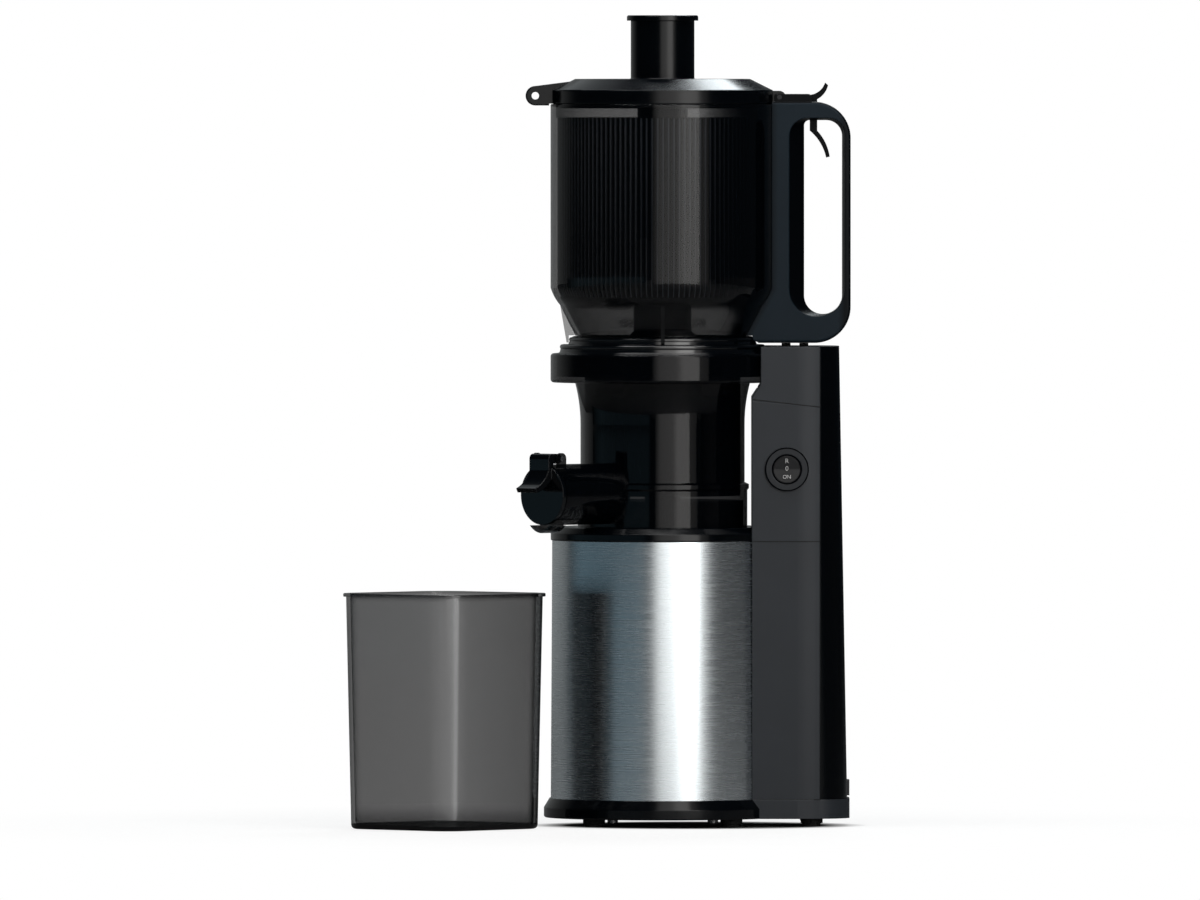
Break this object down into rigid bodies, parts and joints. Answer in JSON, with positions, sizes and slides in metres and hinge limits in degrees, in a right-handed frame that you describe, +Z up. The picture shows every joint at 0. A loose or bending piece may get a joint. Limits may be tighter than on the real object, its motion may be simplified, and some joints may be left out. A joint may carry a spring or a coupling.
{
  "type": "vertical slow juicer",
  "caption": "Vertical slow juicer: steel motor drum with a rear column, smoky chamber with a flip tap, wide ribbed hopper with a carrying handle, hinged lid with a pusher, and a juice jar.",
  "frame": {"origin": "on the table the feet and the jar stand on, under the middle of the whole box of machine and jar", "axes": "+Z up along the drum's axis, +X towards the rear column and handle, -Y towards the side with the switch"},
  "size_m": [0.3162, 0.2112, 0.5061],
  "materials": {
    "charcoal_satin": "satin",
    "gloss_black": "gloss",
    "smoke_clear": "gloss, translucent",
    "jar_clear": "gloss, translucent",
    "brushed_steel": "brushed around the drum",
    "plain_steel": "ground",
    "lamination_steel": "plain",
    "cast_aluminium": "satin",
    "copper_wire": "enamelled",
    "gear_plastic": "satin",
    "inner_plastic": "matt",
    "auger_plastic": "satin",
    "board_green": "satin",
    "rubber_black": "matt",
    "silicone_grey": "matt",
    "switch_black": "satin"
  },
  "bodies": {
    "base": {"base_plate": "inner_plastic", "base_ring": "gloss_black", "rubber_feet": "rubber_black", "base_screws": "plain_steel", "steel_sleeve": "brushed_steel", "motor_housing": "inner_plastic", "top_deck": "gloss_black", "column_foot": "charcoal_satin", "column_lower_shell": "charcoal_satin", "column_middle_shell": "charcoal_satin", "column_head": "charcoal_satin", "column_back_panel": "gloss_black", "handle_rest_pads": "rubber_black", "switch_bezel": "gloss_black", "switch_body": "inner_plastic", "power_inlet": "inner_plastic", "inlet_pins": "plain_steel", "control_board": "board_green", "motor_can": "lamination_steel", "motor_stator": "lamination_steel", "motor_windings": "copper_wire", "motor_bracket": "cast_aluminium", "ball_bearings": "plain_steel", "ring_gear": "gear_plastic", "gearbox_housing": "cast_aluminium", "shaft_seal": "silicone_grey"},
    "rotor": {"rotor_shaft": "plain_steel", "rotor_core": "lamination_steel", "cooling_fan": "inner_plastic", "sun_gear": "plain_steel"},
    "first_carrier": {"first_carrier": "plain_steel"},
    "output": {"output_carrier": "plain_steel", "drive_shaft": "plain_steel"},
    "rocker": {"switch_rocker": "switch_black"},
    "chamber": {"juice_chamber": "smoke_clear", "chamber_spouts": "smoke_clear", "tap_pin": "plain_steel", "chamber_seal": "silicone_grey", "strainer": "auger_plastic"},
    "auger": {"auger_screw": "auger_plastic", "auger_blade": "plain_steel"},
    "tap": {"tap_cap": "gloss_black", "tap_seal": "silicone_grey"},
    "hopper": {"hopper_shell": "smoke_clear", "lock_ring": "gloss_black", "ribbed_liner": "smoke_clear", "handle_frame": "charcoal_satin", "handle_pins": "plain_steel"},
    "lid": {"lid_plate": "gloss_black", "lid_gasket": "silicone_grey"},
    "lever": {"lid_lever": "charcoal_satin"},
    "pusher": {"pusher_tube": "inner_plastic", "pusher_cap": "gloss_black"},
    "jar": {"juice_jar": "jar_clear"},
    "stage_1_planet_1": {"stage_1_planet_1": "gear_plastic"},
    "stage_1_planet_2": {"stage_1_planet_2": "gear_plastic"},
    "stage_1_planet_3": {"stage_1_planet_3": "gear_plastic"},
    "stage_2_planet_1": {"stage_2_planet_1": "gear_plastic"},
    "stage_2_planet_2": {"stage_2_planet_2": "gear_plastic"},
    "stage_2_planet_3": {"stage_2_planet_3": "gear_plastic"}
  },
  "joints": [
    {"name": "motor_spin", "type": "hinge", "parent": "base", "child": "rotor", "pos_m": [0.04075, 0.0314, 0.06], "axis": [0, 0, 1], "continuous": true},
    {"name": "first_carrier_spin", "type": "hinge", "parent": "base", "child": "first_carrier", "pos_m": [0.04075, 0.0314, 0.115], "axis": [0, 0, 1], "continuous": true},
    {"name": "output_spin", "type": "hinge", "parent": "base", "child": "output", "pos_m": [0.04075, 0.0314, 0.16], "axis": [0, 0, 1], "continuous": true},
    {"name": "switch_rock", "type": "hinge", "parent": "base", "child": "rocker", "pos_m": [0.11815, -0.009, 0.223], "axis": [1, 0, 0], "range_deg": [-8, 8]},
    {"name": "chamber_lift", "type": "slide", "parent": "base", "child": "chamber", "axis": [0, 0, 1], "range_m": [0, 0.1]},
    {"name": "auger_spin", "type": "hinge", "parent": "chamber", "child": "auger", "pos_m": [0.04075, 0.0314, 0.25], "axis": [0, 0, 1], "continuous": true},
    {"name": "tap_swing", "type": "hinge", "parent": "chamber", "child": "tap", "pos_m": [-0.03038, -0.03973, 0.2302], "axis": [-0.7071, 0.7071, 0], "range_deg": [0, 95]},
    {"name": "hopper_twist", "type": "hinge", "parent": "chamber", "child": "hopper", "pos_m": [0.04075, 0.0314, 0.29], "axis": [0, 0, 1], "range_deg": [0, 40]},
    {"name": "lid_open", "type": "hinge", "parent": "hopper", "child": "lid", "pos_m": [0.11375, 0.0314, 0.455], "axis": [0, 1, 0], "range_deg": [0, 100]},
    {"name": "lever_pull", "type": "hinge", "parent": "hopper", "child": "lever", "pos_m": [0.13485, 0.0314, 0.4481], "axis": [0, 1, 0], "range_deg": [0, 12], "stiffness_Nm_per_rad": 0.2, "springref_deg": -5.73},
    {"name": "pusher_slide", "type": "slide", "parent": "lid", "child": "pusher", "axis": [0, 0, 1], "range_m": [0, 0.13]},
    {"name": "jar_slide", "type": "slide", "parent": "base", "child": "jar", "axis": [-1, 0, 0], "range_m": [0, 0.12]},
    {"name": "stage_1_planet_1_spin", "type": "hinge", "parent": "first_carrier", "child": "stage_1_planet_1", "pos_m": [0.0595, 0.0314, 0.105], "axis": [0, 0, 1], "continuous": true},
    {"name": "stage_1_planet_2_spin", "type": "hinge", "parent": "first_carrier", "child": "stage_1_planet_2", "pos_m": [0.03138, 0.04764, 0.105], "axis": [0, 0, 1], "continuous": true},
    {"name": "stage_1_planet_3_spin", "type": "hinge", "parent": "first_carrier", "child": "stage_1_planet_3", "pos_m": [0.03138, 0.01516, 0.105], "axis": [0, 0, 1], "continuous": true},
    {"name": "stage_2_planet_1_spin", "type": "hinge", "parent": "output", "child": "stage_2_planet_1", "pos_m": [0.0595, 0.0314, 0.125], "axis": [0, 0, 1], "continuous": true},
    {"name": "stage_2_planet_2_spin", "type": "hinge", "parent": "output", "child": "stage_2_planet_2", "pos_m": [0.03138, 0.04764, 0.125], "axis": [0, 0, 1], "continuous": true},
    {"name": "stage_2_planet_3_spin", "type": "hinge", "parent": "output", "child": "stage_2_planet_3", "pos_m": [0.03138, 0.01516, 0.125], "axis": [0, 0, 1], "continuous": true}
  ],
  "couplings": [
    {"joint": "first_carrier_spin", "follows": "motor_spin", "ratio": 0.2},
    {"joint": "output_spin", "follows": "motor_spin", "ratio": 0.04},
    {"joint": "auger_spin", "follows": "motor_spin", "ratio": 0.04},
    {"joint": "stage_1_planet_1_spin", "follows": "motor_spin", "ratio": -0.53333},
    {"joint": "stage_1_planet_2_spin", "follows": "motor_spin", "ratio": -0.53333},
    {"joint": "stage_1_planet_3_spin", "follows": "motor_spin", "ratio": -0.53333},
    {"joint": "stage_2_planet_1_spin", "follows": "motor_spin", "ratio": -0.10667},
    {"joint": "stage_2_planet_2_spin", "follows": "motor_spin", "ratio": -0.10667},
    {"joint": "stage_2_planet_3_spin", "follows": "motor_spin", "ratio": -0.10667}
  ]
}
